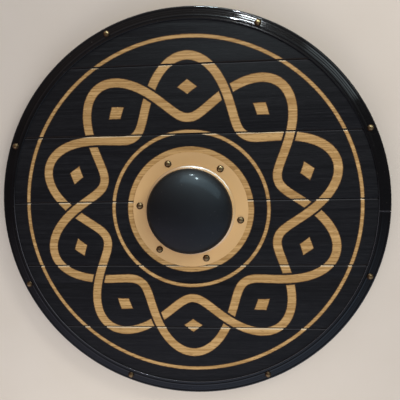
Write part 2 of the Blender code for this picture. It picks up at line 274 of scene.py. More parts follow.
def panel(name, bearing, rise, distance, size, power, colour, matt=True, gloss=True):
    """A rectangular lamp at a bearing from +X and an angle above the boards, aimed at the shield."""
    aim = Vector((0.0, 0.0, board_face))
    level = cos(radians(rise)) * distance
    place = aim + Vector((
        cos(radians(bearing)) * level,
        sin(radians(bearing)) * level,
        sin(radians(rise)) * distance,
    ))
    light = bpy.data.lights.new(name, "AREA")
    light.shape = "RECTANGLE"
    light.size, light.size_y = size
    light.energy = power
    light.color = colour
    lamp = bpy.data.objects.new(name, light)
    lamp.location = place
    lamp.rotation_euler = (aim - place).to_track_quat("-Z", "Y").to_euler()
    switch(lamp, matt, gloss)
    return lamp


print("lamps so far:", len(bpy.data.lights))

# %% [markdown]
# What each lamp is for
#
# Broad lamps light the wood: daylight from above, a low lamp at the upper right that rakes across the
# joints, so that one side of each groove is bright and the other dark, and a weaker one beyond the
# shield's lower edge. The other lamps only show in the gloss. The tube and the bulb are the two sparks in
# the dome. The window and the ceiling lamp make the soft light and the white streak on the rim, and the
# long light makes the line round the neck of the boss. Each of these three lights only what is in its
# collection of receivers. Both collections are still empty here, and pieces go in once they are modelled.

# %% Lamps round the shield
DAYLIGHT_STRENGTH = 0.80
DAYLIGHT_SPREAD = 46.0            # in degrees, so wide that its shadows are soft
DAYLIGHT_LEAN = (-14.0, 26.0)     # degrees about X and Y, from straight down

daylight = bpy.data.lights.new("daylight", "SUN")
daylight.energy = DAYLIGHT_STRENGTH
daylight.angle = radians(DAYLIGHT_SPREAD)
daylight.color = (1.0, 0.98, 0.95)
daylight_lamp = bpy.data.objects.new("daylight", daylight)
daylight_lamp.rotation_euler = (radians(DAYLIGHT_LEAN[0]), radians(DAYLIGHT_LEAN[1]), 0.0)
switch(daylight_lamp, matt=True, gloss=False)

# Bearing and rise are in degrees, distance and size in metres, and power in watts.
panel("raking_light", 44.0, 34.0, 1.4, (0.7, 0.3), 6.6, (1.0, 0.97, 0.92), gloss=False)
panel("lower_fill", -98.0, 36.0, 0.80, (0.8, 0.3), 2.2, (1.0, 0.98, 0.95), gloss=False)
panel("tube", 88.0, 16.5, 1.3, (0.15, 0.03), 6.5, (0.76, 0.94, 1.0), matt=False)
panel("bulb", 79.0, 29.0, 1.3, (0.035, 0.035), 7.0, (0.76, 0.94, 1.0), matt=False)
window = panel("window", 41.0, 52.0, 1.3, (0.34, 0.34), 0.85, (0.80, 0.95, 1.0), matt=False)
ceiling_lamp = panel("ceiling_lamp", 76.3, 58.5, 1.43, (0.10, 0.05), 3.0, (0.90, 0.97, 1.0), matt=False)
long_light = panel("long_light", 66.0, 36.0, 1.3, (1.9, 0.7), 15.5, (0.54, 0.84, 1.0), matt=False)
rim_only = bpy.data.collections.new("rim only")
boss_and_rivets = bpy.data.collections.new("boss and rivets")
for lamp, receivers in ((window, rim_only), (ceiling_lamp, rim_only), (long_light, boss_and_rivets)):
    lamp.light_linking.receiver_collection = receivers

# %% [markdown]
# Groups hold what several finishes share
#
# Grain, the stencilled band, sprayed paint and handling marks each come up in more than one material.
# A node group is built once, with named inputs and outputs, and placed wherever it is needed. The group
# gives only masks and heights. The shader stays in each material, with its own gloss and colours.

# %% Helpers that open and place a group
def open_group(name, takes, gives):
    """Starts a group with vector or number inputs and number outputs, and returns its two ends."""
    group = bpy.data.node_groups.new(name, "ShaderNodeTree")
    for label, kind in takes:
        group.interface.new_socket(label, in_out="INPUT", socket_type=kind)
    for label in gives:
        group.interface.new_socket(label, in_out="OUTPUT", socket_type="NodeSocketFloat")
    return group, group.nodes.new("NodeGroupInput").outputs, group.nodes.new("NodeGroupOutput").inputs


def put_group(tree, group, **values):
    """Places a group in a tree, feeds its inputs by name and returns its outputs."""
    node = tree.nodes.new("ShaderNodeGroup")
    node.node_tree = group
    for label, value in values.items():
        feed(tree, node.inputs[label], value)
    return node.outputs


NODE_WIDTH = 220                  # room for one node in the editor, with a gap
NODE_HEIGHT = 190


def spread_nodes(tree, rows=7):
    """Lays the nodes out in columns, so that the net can be read in the editor."""
    for number, node in enumerate(tree.nodes):
        node.location = (number // rows * NODE_WIDTH, number % rows * -NODE_HEIGHT)


print("groups so far:", len(bpy.data.node_groups))

# %% [markdown]
# Sawn wood
#
# A board shows its tree's growth as lines along its length. They are long and thin, so the noise is
# read at a place that is squeezed along X and spread across it: a lump becomes a streak. A slow noise
# bends the lines first, because no tree grows straight. Streaks, fine fibres and short dark pores are
# three layers of the same idea at different widths, and each board reads another part of the noise.

# %% Group for the grain
BOARD_SHIFT = (1.73, 0.41, 0.29)  # how far one board's number moves its grain
BEND_REACH = 0.012                # how far the slow noise bends the lines
SLOW_LUMPS = (2.2, 6.0, 6.0)      # lumps to the metre, along the board and across it
WIDE_LUMPS = (3.0, 120.0, 120.0)
NARROW_LUMPS = (8.0, 460.0, 460.0)
FIBRE_LUMPS = (60.0, 1900.0, 1900.0)
PORE_LUMPS = (95.0, 1300.0, 1300.0)
WIDE_SHARE = 0.30                 # of the wide lumps in the streaks, the rest being narrow
STREAK_RANGE = (0.36, 0.64)       # where the noise starts to count, and where it counts fully
FIBRE_RANGE = (0.30, 0.70)
PORE_RANGE = (0.60, 0.72)
STREAK_RELIEF = 0.5               # how much each layer adds to the height, or takes from it
FIBRE_RELIEF = 0.5
PORE_RELIEF = 0.35


def sawn_grain():
    group, inputs, outputs = open_group(
        "Sawn grain",
        (("Place", "NodeSocketVector"), ("Board", "NodeSocketFloat")),
        ("Streaks", "Fibres", "Pores", "Height"),
    )
    board_shift = stretch(group, inputs["Board"], BOARD_SHIFT)
    place = stretch(group, inputs["Place"], (1.0, 1.0, 1.0), board_shift)
    bend = calc(group, "MULTIPLY", clouds(group, stretch(group, place, SLOW_LUMPS)), BEND_REACH)
    combine = group.nodes.new("ShaderNodeCombineXYZ")
    feed(group, combine.inputs["Y"], bend)
    place = stretch(group, place, (1.0, 1.0, 1.0), combine.outputs[0])

    wide = clouds(group, stretch(group, place, WIDE_LUMPS), detail=2.0)
    narrow = clouds(group, stretch(group, place, NARROW_LUMPS), detail=3.0, roughness=0.6)
    fibres = clouds(group, stretch(group, place, FIBRE_LUMPS), detail=3.0)
    dashes = clouds(group, stretch(group, place, PORE_LUMPS), detail=1.0)
    streaks = calc(group, "MULTIPLY_ADD", wide, WIDE_SHARE, calc(group, "MULTIPLY", narrow, 1 - WIDE_SHARE))
    pores = fade(group, dashes, *PORE_RANGE)
    relief = calc(group, "MULTIPLY", narrow, STREAK_RELIEF)
    relief = calc(group, "MULTIPLY_ADD", fibres, FIBRE_RELIEF, relief)
    height = calc(group, "SUBTRACT", relief, calc(group, "MULTIPLY", pores, PORE_RELIEF))

    feed(group, outputs["Streaks"], fade(group, streaks, *STREAK_RANGE))
    feed(group, outputs["Fibres"], fade(group, fibres, *FIBRE_RANGE))
    feed(group, outputs["Pores"], pores)
    feed(group, outputs["Height"], height)
    spread_nodes(group)
    return group


GRAIN = sawn_grain()
print("nodes in the grain group:", len(GRAIN.nodes))

# %% [markdown]
# A plaited band left in bare wood
#
# The black stain goes on over a stencil, and what the stencil covers stays the colour of the wood. The
# design is a plait of two strands, an old border pattern. In polar form each strand is a wave round
# the circle, r = r0 + a sin(n t), and the other is its mirror image. Where the cosine is above zero the
# first strand passes over, and elsewhere the second does, so they alternate by themselves. The one that
# passes under stops a little short of the other. What comes out is a distance in metres: how deep inside
# a strand's edge the place lies, and below zero outside it.

# %% The two strands
PLAIT_RADIUS = 0.189              # of the circle that the strands swing about
PLAIT_SWING = 0.046
PLAIT_WAVES = 5
STRAND_WIDTH = 0.0135
STRAND_GAP = 0.0030               # black on either side of the strand that passes over


def strands(group, radius, phase):
    """How deep a place lies inside either strand."""
    swing = calc(group, "MULTIPLY", calc(group, "SINE", phase), PLAIT_SWING)
    lead = calc(group, "COSINE", phase)
    slope = calc(group, "DIVIDE", calc(group, "MULTIPLY", lead, PLAIT_SWING * PLAIT_WAVES), radius)
    square = calc(group, "INVERSE_SQRT", calc(group, "MULTIPLY_ADD", slope, slope, 1.0))
    offset = calc(group, "SUBTRACT", radius, PLAIT_RADIUS)
    first = calc(group, "MULTIPLY", calc(group, "ABSOLUTE", calc(group, "SUBTRACT", offset, swing)), square)
    second = calc(group, "MULTIPLY", calc(group, "ABSOLUTE", calc(group, "ADD", offset, swing)), square)
    first_leads = calc(group, "GREATER_THAN", lead, 0.0)
    both = calc(group, "ADD", first, second)
    over = calc(group, "MULTIPLY_ADD", calc(group, "SUBTRACT", first, second), first_leads, second)
    under = calc(group, "SUBTRACT", both, over)
    half = STRAND_WIDTH / 2
    inside_over = calc(group, "SUBTRACT", half, over)
    inside_under = calc(group, "SUBTRACT", half, under)
    clear_of_over = calc(group, "SUBTRACT", over, half + STRAND_GAP)
    return calc(group, "MAXIMUM", inside_over, calc(group, "MINIMUM", inside_under, clear_of_over))


print("waves round the shield:", PLAIT_WAVES)

# %% [markdown]
# Rings and lozenges
#
# A thin ring runs on either side of the plait and a plain ring is left round the boss. A small lozenge
# fills each cell between the strands. The angle is wrapped so that it counts from the middle of the
# nearest cell, and two straight slopes, one along the band and one across it, make the four sides.

# %% Rings and lozenges of the band
RING_RADII = (0.122, 0.2625)
RING_WIDTH = 0.0055
BOSS_RING_RADIUS = 0.0993         # of the plain ring round the boss
LOZENGE_HALF = (0.015, 0.011)     # half its length along the band, and across it


def rings(group, radius):
    """How deep a place lies inside any of the rings."""
    inside = calc(group, "SUBTRACT", BOSS_RING_RADIUS, radius)
    for ring in RING_RADII:
        away = calc(group, "ABSOLUTE", calc(group, "SUBTRACT", radius, ring))
        inside = calc(group, "MAXIMUM", inside, calc(group, "SUBTRACT", RING_WIDTH / 2, away))
    return inside


def lozenges(group, radius, phase):
    """How deep a place lies inside the lozenge of the nearest cell."""
    from_cell = calc(group, "WRAP", calc(group, "SUBTRACT", phase, pi / 2), pi / 2, -pi / 2)
    along = calc(group, "ABSOLUTE", calc(group, "MULTIPLY", from_cell, PLAIT_RADIUS / PLAIT_WAVES))
    across = calc(group, "ABSOLUTE", calc(group, "SUBTRACT", radius, PLAIT_RADIUS))
    long_half, wide_half = LOZENGE_HALF
    reach = calc(group, "MULTIPLY_ADD", along, 1 / long_half, calc(group, "DIVIDE", across, wide_half))
    side_scale = long_half * wide_half / (long_half**2 + wide_half**2) ** 0.5
    return calc(group, "MULTIPLY", calc(group, "SUBTRACT", 1.0, reach), side_scale)


print("lozenges:", 2 * PLAIT_WAVES)

# %% [markdown]
# The stencil
#
# Each shape gives its distance inside the edge, the largest of them wins, and one threshold cuts the
# stencil. A second mask marks the line along every edge, where stain gathers. The creep that comes in
# moves the edges out or in a little, as stain does when it runs under a stencil.

# %% Group for the stencilled band
STENCIL_SOFTNESS = 0.0003
EDGE_REACH = 0.0012               # how far the line of gathered stain reaches from an edge


def plaited_band():
    group, inputs, outputs = open_group(
        "Plaited band",
        (("Place", "NodeSocketVector"), ("Creep", "NodeSocketFloat")),
        ("Bare", "Edge"),
    )
    axes = parts_of(group, inputs["Place"])
    radius = from_axis(group, axes)
    phase = calc(group, "MULTIPLY", calc(group, "ARCTAN2", axes["Y"], axes["X"]), PLAIT_WAVES)
    inside = calc(group, "MAXIMUM", strands(group, radius, phase), rings(group, radius))
    inside = calc(group, "MAXIMUM", inside, lozenges(group, radius, phase))
    inside = calc(group, "ADD", inside, inputs["Creep"])
    feed(group, outputs["Bare"], fade(group, inside, -STENCIL_SOFTNESS, STENCIL_SOFTNESS))
    edge = fade(group, calc(group, "ABSOLUTE", inside), 0.0, EDGE_REACH, 1.0, 0.0)
    feed(group, outputs["Edge"], edge)
    spread_nodes(group)
    return group


BAND = plaited_band()
print("nodes in the band group:", len(BAND.nodes))

# %% [markdown]
# Sprayed paint and handling
#
# Paint from a spray gun dries with a faint dimpled skin, like the peel of an orange, and holds a few
# specks of dust. Hands leave wide, soft patches that are a little duller. These are too shallow to
# model, so they are a height and two masks. Each is smooth noise at its own size in millimetres.

# %% Group for painted and handled surfaces
PEEL_LUMPS = 700.0                # to the metre
SPECK_LUMPS = 430.0
SMUDGE_LUMPS = 17.0
SPECK_SHIFT = (3.0, 5.0, 1.0)     # each cloud is read in another place, so that they don't match
SMUDGE_SHIFT = (8.0, 2.0, 4.0)
SPECK_RANGE = (0.80, 0.88)        # where the noise starts to count, and where it counts fully
SMUDGE_RANGE = (0.38, 0.68)


def handled_paint():
    group, inputs, outputs = open_group(
        "Handled paint",
        (("Place", "NodeSocketVector"),),
        ("Peel", "Specks", "Smudge"),
    )
    place = inputs["Place"]
    peel = even_clouds(group, place, PEEL_LUMPS, detail=1.0)
    specks = even_clouds(group, place, SPECK_LUMPS, detail=0.0, shift=SPECK_SHIFT)
    smudge = even_clouds(group, place, SMUDGE_LUMPS, detail=3.0, shift=SMUDGE_SHIFT)
    feed(group, outputs["Peel"], peel)
    feed(group, outputs["Specks"], fade(group, specks, *SPECK_RANGE))
    feed(group, outputs["Smudge"], fade(group, smudge, *SMUDGE_RANGE))
    spread_nodes(group)
    return group


PAINT_SKIN = handled_paint()
print("nodes in the paint group:", len(PAINT_SKIN.nodes))

# %% [markdown]
# A start for every material
#
# Each material begins with Blender's own Principled shader. Values that are the same all over a surface,
# such as how much light a clear coat returns, are typed into the shader. Only what changes from place to
# place comes through nodes.

# %% Helpers for materials
def start_material(name, **plain):
    """A new material whose shader has the given plain values, with its tree and shader."""
    material = bpy.data.materials.new(name)
    material.use_nodes = True
    shader = material.node_tree.nodes["Principled BSDF"]
    for label, value in plain.items():
        shader.inputs[label.replace("_", " ")].default_value = value
    return material, material.node_tree, shader


def raise_surface(tree, shader, height, depth):
    """Lets a height from 0 to 1 catch the light as if it were depth metres deep."""
    bump = tree.nodes.new("ShaderNodeBump")
    bump.inputs["Distance"].default_value = depth
    feed(tree, bump.inputs["Height"], height)
    feed(tree, shader.inputs["Normal"], bump.outputs[0])


print("materials so far:", len(bpy.data.materials))

# %% [markdown]
# Stained boards
#
# The face is black over a pale, straight-grained wood. Stain sinks in unevenly, so the black is not one
# black: soft lines of the wood take more of it and hard lines less. The slanted edges at the joints have a
# paler band near the face, a painted highlight, and the bottom of each V is painted shade. The back never
# saw stain, only oil. Height alone tells these apart, so each is a mask over the depth below the face.

# %% Colours and depths of a stained board
PALE_WOOD = screen_colour(203, 165, 110)
DARK_WOOD = screen_colour(163, 126, 76)
PORE_WOOD = screen_colour(128, 93, 53)
EDGE_STAIN = screen_colour(70, 45, 28)   # along the stencil's edge
OILED_WOOD = screen_colour(176, 134, 88)
STAIN_THIN = screen_colour(36, 36, 38)
STAIN_DEEP = screen_colour(20, 20, 22)
# painted highlight on the upward slants of the joints near the face, on bare wood and on stain
SLANT_HIGHLIGHT_WOOD = screen_colour(250, 228, 190)
SLANT_HIGHLIGHT_STAIN = screen_colour(56, 56, 60)
SLANT_SHADE_BROWN = screen_colour(34, 27, 22)  # painted shade on the downward slants of the joints
PORE_STRENGTH = 0.75
EDGE_STRENGTH = 0.6
JOINT_SHADE_STRENGTH = 0.85
SLANT_HIGHLIGHT_DEPTH = (0.0006, 0.0001)      # below the face: fully the painted highlight of a slant, and no longer
JOINT_SHADE_DEPTH = (0.0019, 0.0015)    # below the face: fully painted shade, and no longer
BARE_DEPTH = (0.0045, 0.0040)     # below the face: fully free of stain, and no longer


def below_face(tree, height, depths):
    """A mask that is full below the first of two depths under the face and gone above the second."""
    deep, shallow = depths
    return fade(tree, height, board_face - deep, board_face - shallow, 1.0, 0.0)


def stained_face(tree, grain, band):
    """Bare wood in the band, stain round it, and a dark line where the two meet."""
    wood = tint(tree, grain["Streaks"], PALE_WOOD, DARK_WOOD)
    wood = tint(tree, calc(tree, "MULTIPLY", grain["Pores"], PORE_STRENGTH), wood, PORE_WOOD)
    stain = tint(tree, calc(tree, "MULTIPLY", grain["Fibres"], grain["Streaks"]), STAIN_DEEP, STAIN_THIN)
    face = tint(tree, band["Bare"], stain, wood)
    return tint(tree, calc(tree, "MULTIPLY", band["Edge"], EDGE_STRENGTH), face, EDGE_STAIN)


print("stain reaches", BARE_DEPTH[1], "m down from the face")

# %% [markdown]
# One finish for each board
#
# Stain creeps a little along the fibres under the stencil, so the edge of the band is not quite sharp.
# One function makes the finish, and the board's number shifts the grain, so that no two boards are sawn
# from the same place. A second finish is painted shade, for the slant at the lower edge of each board.

# %% Finish of a board
CREEP_REACH = 0.0006              # how far stain creeps under the stencil, or stays short of it
CREEP_LUMPS = (150.0, 1400.0, 1400.0)
BOARD_ROUGHNESS = (0.50, 0.62)
BOARD_GRAIN_DEPTH = 0.00025
JOINT_ROUGHNESS = (0.55, 0.65)
JOINT_GRAIN_DEPTH = 0.0002
JOINT_BOARD = 7.0                 # the grain's board number in the joints


def board_finish(number):
    material, tree, shader = start_material(f"stained board {number}", Specular_IOR_Level=0.10)
    place = object_place(tree)
    grain = put_group(tree, GRAIN, Place=place, Board=float(number))
    creep_noise = clouds(tree, stretch(tree, place, CREEP_LUMPS), detail=1.0)
    creep = calc(tree, "MULTIPLY_ADD", creep_noise, 2 * CREEP_REACH, -CREEP_REACH)
    band = put_group(tree, BAND, Place=place, Creep=creep)

    height = parts_of(tree, place)["Z"]
    # painted highlight: just below the face the slants turn pale, on bare wood and on stain
    slant_highlight = tint(tree, band["Bare"], SLANT_HIGHLIGHT_STAIN, SLANT_HIGHLIGHT_WOOD)
    colour = tint(tree, below_face(tree, height, SLANT_HIGHLIGHT_DEPTH), stained_face(tree, grain, band), slant_highlight)
    # painted shade: the bottom of each V, where the gap between the boards lies, is darkened
    joint_shade = calc(tree, "MULTIPLY", below_face(tree, height, JOINT_SHADE_DEPTH), JOINT_SHADE_STRENGTH)
    colour = tint(tree, joint_shade, colour, STAIN_DEEP)
    oiled = tint(tree, grain["Streaks"], OILED_WOOD, PORE_WOOD)
    colour = tint(tree, below_face(tree, height, BARE_DEPTH), colour, oiled)
    feed(tree, shader.inputs["Base Color"], colour)
    feed(tree, shader.inputs["Roughness"], fade(tree, grain["Streaks"], 0.0, 1.0, *BOARD_ROUGHNESS))
    raise_surface(tree, shader, grain["Height"], BOARD_GRAIN_DEPTH)
    spread_nodes(tree)
    return material


def slant_shade_finish():
    """Painted shade for the slant at the lower edge of each board, which faces down the shield."""
    material, tree, shader = start_material("painted shade on the lower slants", Specular_IOR_Level=0.2)
    grain = put_group(tree, GRAIN, Place=object_place(tree), Board=JOINT_BOARD)
    feed(tree, shader.inputs["Base Color"], tint(tree, grain["Streaks"], STAIN_DEEP, SLANT_SHADE_BROWN))
    feed(tree, shader.inputs["Roughness"], fade(tree, grain["Streaks"], 0.0, 1.0, *JOINT_ROUGHNESS))
    raise_surface(tree, shader, grain["Height"], JOINT_GRAIN_DEPTH)
    spread_nodes(tree)
    return material


BOARD_COUNT = sum(node.startswith("plank_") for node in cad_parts)
board_finishes = [board_finish(number) for number in range(1, BOARD_COUNT + 1)]
slant_shade = slant_shade_finish()
print("board finishes:", len(board_finishes), "and", slant_shade.name)

# %% [markdown]
# Wood of the grip and battens
#
# These bars were planed from paler wood and only oiled. Their grain runs along Y, so a Mapping node
# turns the place by a quarter before the grain group reads it. Each has a board number of its own, past
# those of the boards, so its grain is its own too.

# %% Finish of a bar
BAR_PORE_STRENGTH = 0.7
GRIME_STRENGTH = 0.25             # of the hands' smudges
BAR_ROUGHNESS = (0.55, 0.42)      # clean, and where it is handled most
BAR_GRAIN_DEPTH = 0.00030
GRIP_WOODS = (screen_colour(200, 160, 112), screen_colour(163, 120, 76))
BATTEN_WOODS = (screen_colour(208, 174, 130), DARK_WOOD)


def bar_finish(name, number, light_wood, dark_wood):
    material, tree, shader = start_material(name, Specular_IOR_Level=0.4)
    turn = tree.nodes.new("ShaderNodeMapping")
    turn.inputs["Rotation"].default_value = (0.0, 0.0, pi / 2)
    feed(tree, turn.inputs["Vector"], object_place(tree))
    grain = put_group(tree, GRAIN, Place=turn.outputs[0], Board=number)
    skin = put_group(tree, PAINT_SKIN, Place=object_place(tree))
    wood = tint(tree, grain["Streaks"], light_wood, dark_wood)
    wood = tint(tree, calc(tree, "MULTIPLY", grain["Pores"], BAR_PORE_STRENGTH), wood, PORE_WOOD)
    wood = tint(tree, calc(tree, "MULTIPLY", skin["Smudge"], GRIME_STRENGTH), wood, DARK_WOOD)
    feed(tree, shader.inputs["Base Color"], wood)
    feed(tree, shader.inputs["Roughness"], fade(tree, skin["Smudge"], 0.0, 1.0, *BAR_ROUGHNESS))
    raise_surface(tree, shader, grain["Height"], BAR_GRAIN_DEPTH)
    spread_nodes(tree)
    return material


grip_finish = bar_finish("grip wood", 11.0, *GRIP_WOODS)
left_batten_finish = bar_finish("left batten wood", 12.0, *BATTEN_WOODS)
right_batten_finish = bar_finish("right batten wood", 13.0, *BATTEN_WOODS)
print("bars are finished with", grip_finish.name, "and two batten woods")

# %% [markdown]
# Enamel and satin paint
#
# The rim is gloss black, the dome satin black and the flange a warm tan, with a thick glossy coat where
# the paint ran together in the hollow round the neck. All are sprayed: the shader's clear coat gives the
# crisp reflection on top, and the base under it is duller. Smudges change the tone and the roughness a
# little, and the dimpled skin breaks up the edges of every reflection.

# %% Helper for sprayed paint
SMUDGE_STRENGTH = 0.5
SPECK_STRENGTH = 0.15
DUST = screen_colour(150, 145, 138)


def sprayed(name, colour, thin_colour, dull, dull_where_handled, peel_depth, **plain):
    material, tree, shader = start_material(name, **plain)
    skin = put_group(tree, PAINT_SKIN, Place=object_place(tree))
    tone = tint(tree, calc(tree, "MULTIPLY", skin["Smudge"], SMUDGE_STRENGTH), colour, thin_colour)
    tone = tint(tree, calc(tree, "MULTIPLY", skin["Specks"], SPECK_STRENGTH), tone, DUST)
    feed(tree, shader.inputs["Base Color"], tone)
    feed(tree, shader.inputs["Roughness"], fade(tree, skin["Smudge"], 0.0, 1.0, dull, dull_where_handled))
    raise_surface(tree, shader, skin["Peel"], peel_depth)
    spread_nodes(tree)
    return material


print("materials before the paints:", len(bpy.data.materials))

# %% [markdown]
# Rubbed enamel and painted highlights
#
# The rim's enamel is made paler along the lower half of its inner edge, and at the seam where the ends of
# the strip meet. This stands for enamel rubbed thin and is also a painted highlight, where the rounded lip
# and the seam's end catch the light. Distance from the middle and from the seam's line give the mask for
# that. The new colour goes between the enamel's own colour and the shader.

# %% Helper for the rubbed rim and its painted highlights
RIM_WIDTH = 0.019
SEAM_ANGLE = -1.0                 # where the ends of the rim's strip meet, in degrees from +X
LIP_RUB_AND_HIGHLIGHT = (0.0003, 0.0009)        # out from the inner edge: fully rubbed and painted as highlight, and no longer
LIP_HIGHLIGHT_FADE_Y = (-0.04, 0.06)        # the Y where that starts to fade, and where it ends
SEAM_RUB_AND_HIGHLIGHT = (0.0005, 0.0011)       # from the seam's line: fully rubbed and painted as highlight, and no longer


def rub_and_highlight_rim(material, bare_and_lit_colour):
    """Makes the enamel paler on the lower half of the rim's inner edge and at its seam: rubbed, and painted
    highlight.
    """
    tree = material.node_tree
    colour_input = tree.nodes["Principled BSDF"].inputs["Base Color"]
    enamel = colour_input.links[0].from_socket
    axes = parts_of(tree, object_place(tree))
    from_edge = calc(tree, "SUBTRACT", from_axis(tree, axes), shield_radius - RIM_WIDTH)
    lip = fade(tree, from_edge, *LIP_RUB_AND_HIGHLIGHT, 1.0, 0.0)
    lip = calc(tree, "MULTIPLY", lip, fade(tree, axes["Y"], *LIP_HIGHLIGHT_FADE_Y, 1.0, 0.0))
    seam_slope = -tan(radians(SEAM_ANGLE))
    from_seam = calc(tree, "ABSOLUTE", calc(tree, "MULTIPLY_ADD", axes["X"], seam_slope, axes["Y"]))
    right_side = calc(tree, "SIGN", axes["X"])
    seam = calc(tree, "MULTIPLY", fade(tree, from_seam, *SEAM_RUB_AND_HIGHLIGHT, 1.0, 0.0), right_side)
    rubbed_and_lit = calc(tree, "MAXIMUM", lip, seam)
    feed(tree, colour_input, tint(tree, rubbed_and_lit, enamel, bare_and_lit_colour))


print("the seam lies at", SEAM_ANGLE, "degrees")

# %% [markdown]
# The paints
#
# Each paint has a colour, a second one where it is thin, two values of roughness and the depth of its
# dimples in metres. The neck's coat bends light more than varnish does, which makes its shine stronger.

# %% Finishes of the painted steel
rim_enamel = sprayed(
    "gloss black enamel", screen_colour(10, 10, 11), screen_colour(15, 15, 15), 0.20, 0.25, 0.000012,
    Specular_IOR_Level=0.06, Coat_Weight=0.75, Coat_Roughness=0.06,
)
# pale grey along the lower lip and at the seam: rubbed enamel and painted highlight
rub_and_highlight_rim(rim_enamel, screen_colour(74, 74, 78))
dome_paint = sprayed(
    "satin black paint", screen_colour(13, 13, 15), screen_colour(17, 17, 19), 0.52, 0.58, 0.00002,
    Specular_IOR_Level=0.26, Coat_Weight=0.12, Coat_Roughness=0.11,
)
TAN = screen_colour(212, 173, 119)
THIN_TAN = screen_colour(206, 166, 113)
flange_paint = sprayed(
    "tan satin paint", TAN, THIN_TAN, 0.38, 0.45, 0.00002,
    Specular_IOR_Level=0.4, Coat_Weight=0.20, Coat_Roughness=0.25,
)
neck_paint = sprayed(
    "tan gloss paint", TAN, THIN_TAN, 0.34, 0.40, 0.00002,
    Coat_Weight=1.0, Coat_Roughness=0.14, Coat_IOR=2.4,
)
inside_primer = sprayed(
    "dark primer", screen_colour(38, 36, 34), screen_colour(52, 49, 45), 0.65, 0.75, 0.00008,
)
painted = (rim_enamel, dome_paint, flange_paint, neck_paint, inside_primer)
print("painted finishes:", ", ".join(finish.name for finish in painted))

# %% [markdown]
# Antique brass
#
# The rivets are brass that was darkened and then rubbed, so the crown of each head is bright and the
# foot stays brown. The height above the seat tells the crown from the foot, and a tail is known by lying
# behind the boards. Noise is added to the height, so that the rubbing ends in patches.

# %% Finish of the rivets
DARK_BRASS = screen_colour(62, 43, 27)
RUBBED_BRASS = screen_colour(156, 126, 86)
BRASS_ROUGHNESS = (0.45, 0.24)    # dark, and rubbed
BRASS_LUMPS = 420.0               # patches to the metre
BRASS_PATCH_STRENGTH = 0.8
BRASS_RUB = (0.85, 1.45)          # height and patches added up: where rubbing starts, and where it is full
BRASS_DEPTH = 0.00006
RIVET_HEAD_HEIGHT = 0.0030
TAIL_RUB_DEPTH = 0.0012           # a tail is rubbed bare from here down, below the boards' back
rivet_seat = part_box("boss_rivet_1")[1].z - RIVET_HEAD_HEIGHT


def antique_brass():
    material, tree, shader = start_material("antique brass", Metallic=0.9)
    place = object_place(tree)
    height = parts_of(tree, place)["Z"]
    patches = even_clouds(tree, place, BRASS_LUMPS, detail=3.0)
    head = fade(tree, height, rivet_seat, rivet_seat + RIVET_HEAD_HEIGHT)
    tail = fade(tree, height, board_back - TAIL_RUB_DEPTH, board_back, 1.0, 0.0)
    bare = calc(tree, "MAXIMUM", head, tail)
    rubbed = fade(tree, calc(tree, "MULTIPLY_ADD", patches, BRASS_PATCH_STRENGTH, bare), *BRASS_RUB)
    feed(tree, shader.inputs["Base Color"], tint(tree, rubbed, DARK_BRASS, RUBBED_BRASS))
    feed(tree, shader.inputs["Roughness"], fade(tree, rubbed, 0.0, 1.0, *BRASS_ROUGHNESS))
    raise_surface(tree, shader, patches, BRASS_DEPTH)
    spread_nodes(tree)
    return material


brass = antique_brass()
print("rivets are seated at", round(rivet_seat, 4), "and finished with", brass.name)

# %% [markdown]
# Dull zinc
#
# The wood screws of the back are plated with zinc, which dulls in cloudy patches. One cloud of noise
# drives the colour, the roughness and the slight unevenness together, as they change together on metal.

# %% Finish of the screws
ZINC_GREY = screen_colour(150, 150, 148)
ZINC_PALE = screen_colour(196, 194, 188)
ZINC_ROUGHNESS = (0.36, 0.52)     # where it is grey, and where it is pale
ZINC_LUMPS = 260.0
ZINC_RANGE = (0.3, 0.7)
ZINC_DEPTH = 0.00004


def dull_zinc():
    material, tree, shader = start_material("dull zinc", Metallic=1.0)
    cloudy = even_clouds(tree, object_place(tree), ZINC_LUMPS, detail=4.0)
    feed(tree, shader.inputs["Base Color"], tint(tree, cloudy, ZINC_GREY, ZINC_PALE))
    feed(tree, shader.inputs["Roughness"], fade(tree, cloudy, *ZINC_RANGE, *ZINC_ROUGHNESS))
    raise_surface(tree, shader, cloudy, ZINC_DEPTH)
    spread_nodes(tree)
    return material


zinc = dull_zinc()
print("screws are finished with", zinc.name)

# %% [markdown]
# From a bmesh to a piece of the shield
#
# Every piece ends the same way. Its bmesh becomes an object at the origin, it is shaded smooth except at
# its sharp edges, it is parented to the shield's root, and the solid it stands for is hidden. Turned pieces
# also start the same way: an outline is spun round the Z axis, the points that meet are merged, and the
# faces are turned outwards.

# %% Helpers for pieces
MERGE_WITHIN = 1e-6               # metres: points closer than this become one


def piece_from(name, work, finishes, node, smooth_below=35.0):
    """Makes the object of a bmesh, in place of a solid, with its finishes in order."""
    mesh = bpy.data.meshes.new(name)
    work.to_mesh(mesh)
    work.free()
    for finish in finishes:
        mesh.materials.append(finish)
    mesh.set_sharp_from_angle(angle=radians(smooth_below))
    piece = bpy.data.objects.new(name, mesh)
    bpy.context.scene.collection.objects.link(piece)
    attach(piece, "root")
    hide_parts(node)
    return piece


def arc(centre, radius, start, end, steps):
    """Points of (distance, height) along an arc, with its angles in degrees from the outward side."""
    turns = [radians(start + (end - start) * step / steps) for step in range(steps + 1)]
    return [(centre[0] + radius * cos(turn), centre[1] + radius * sin(turn)) for turn in turns]


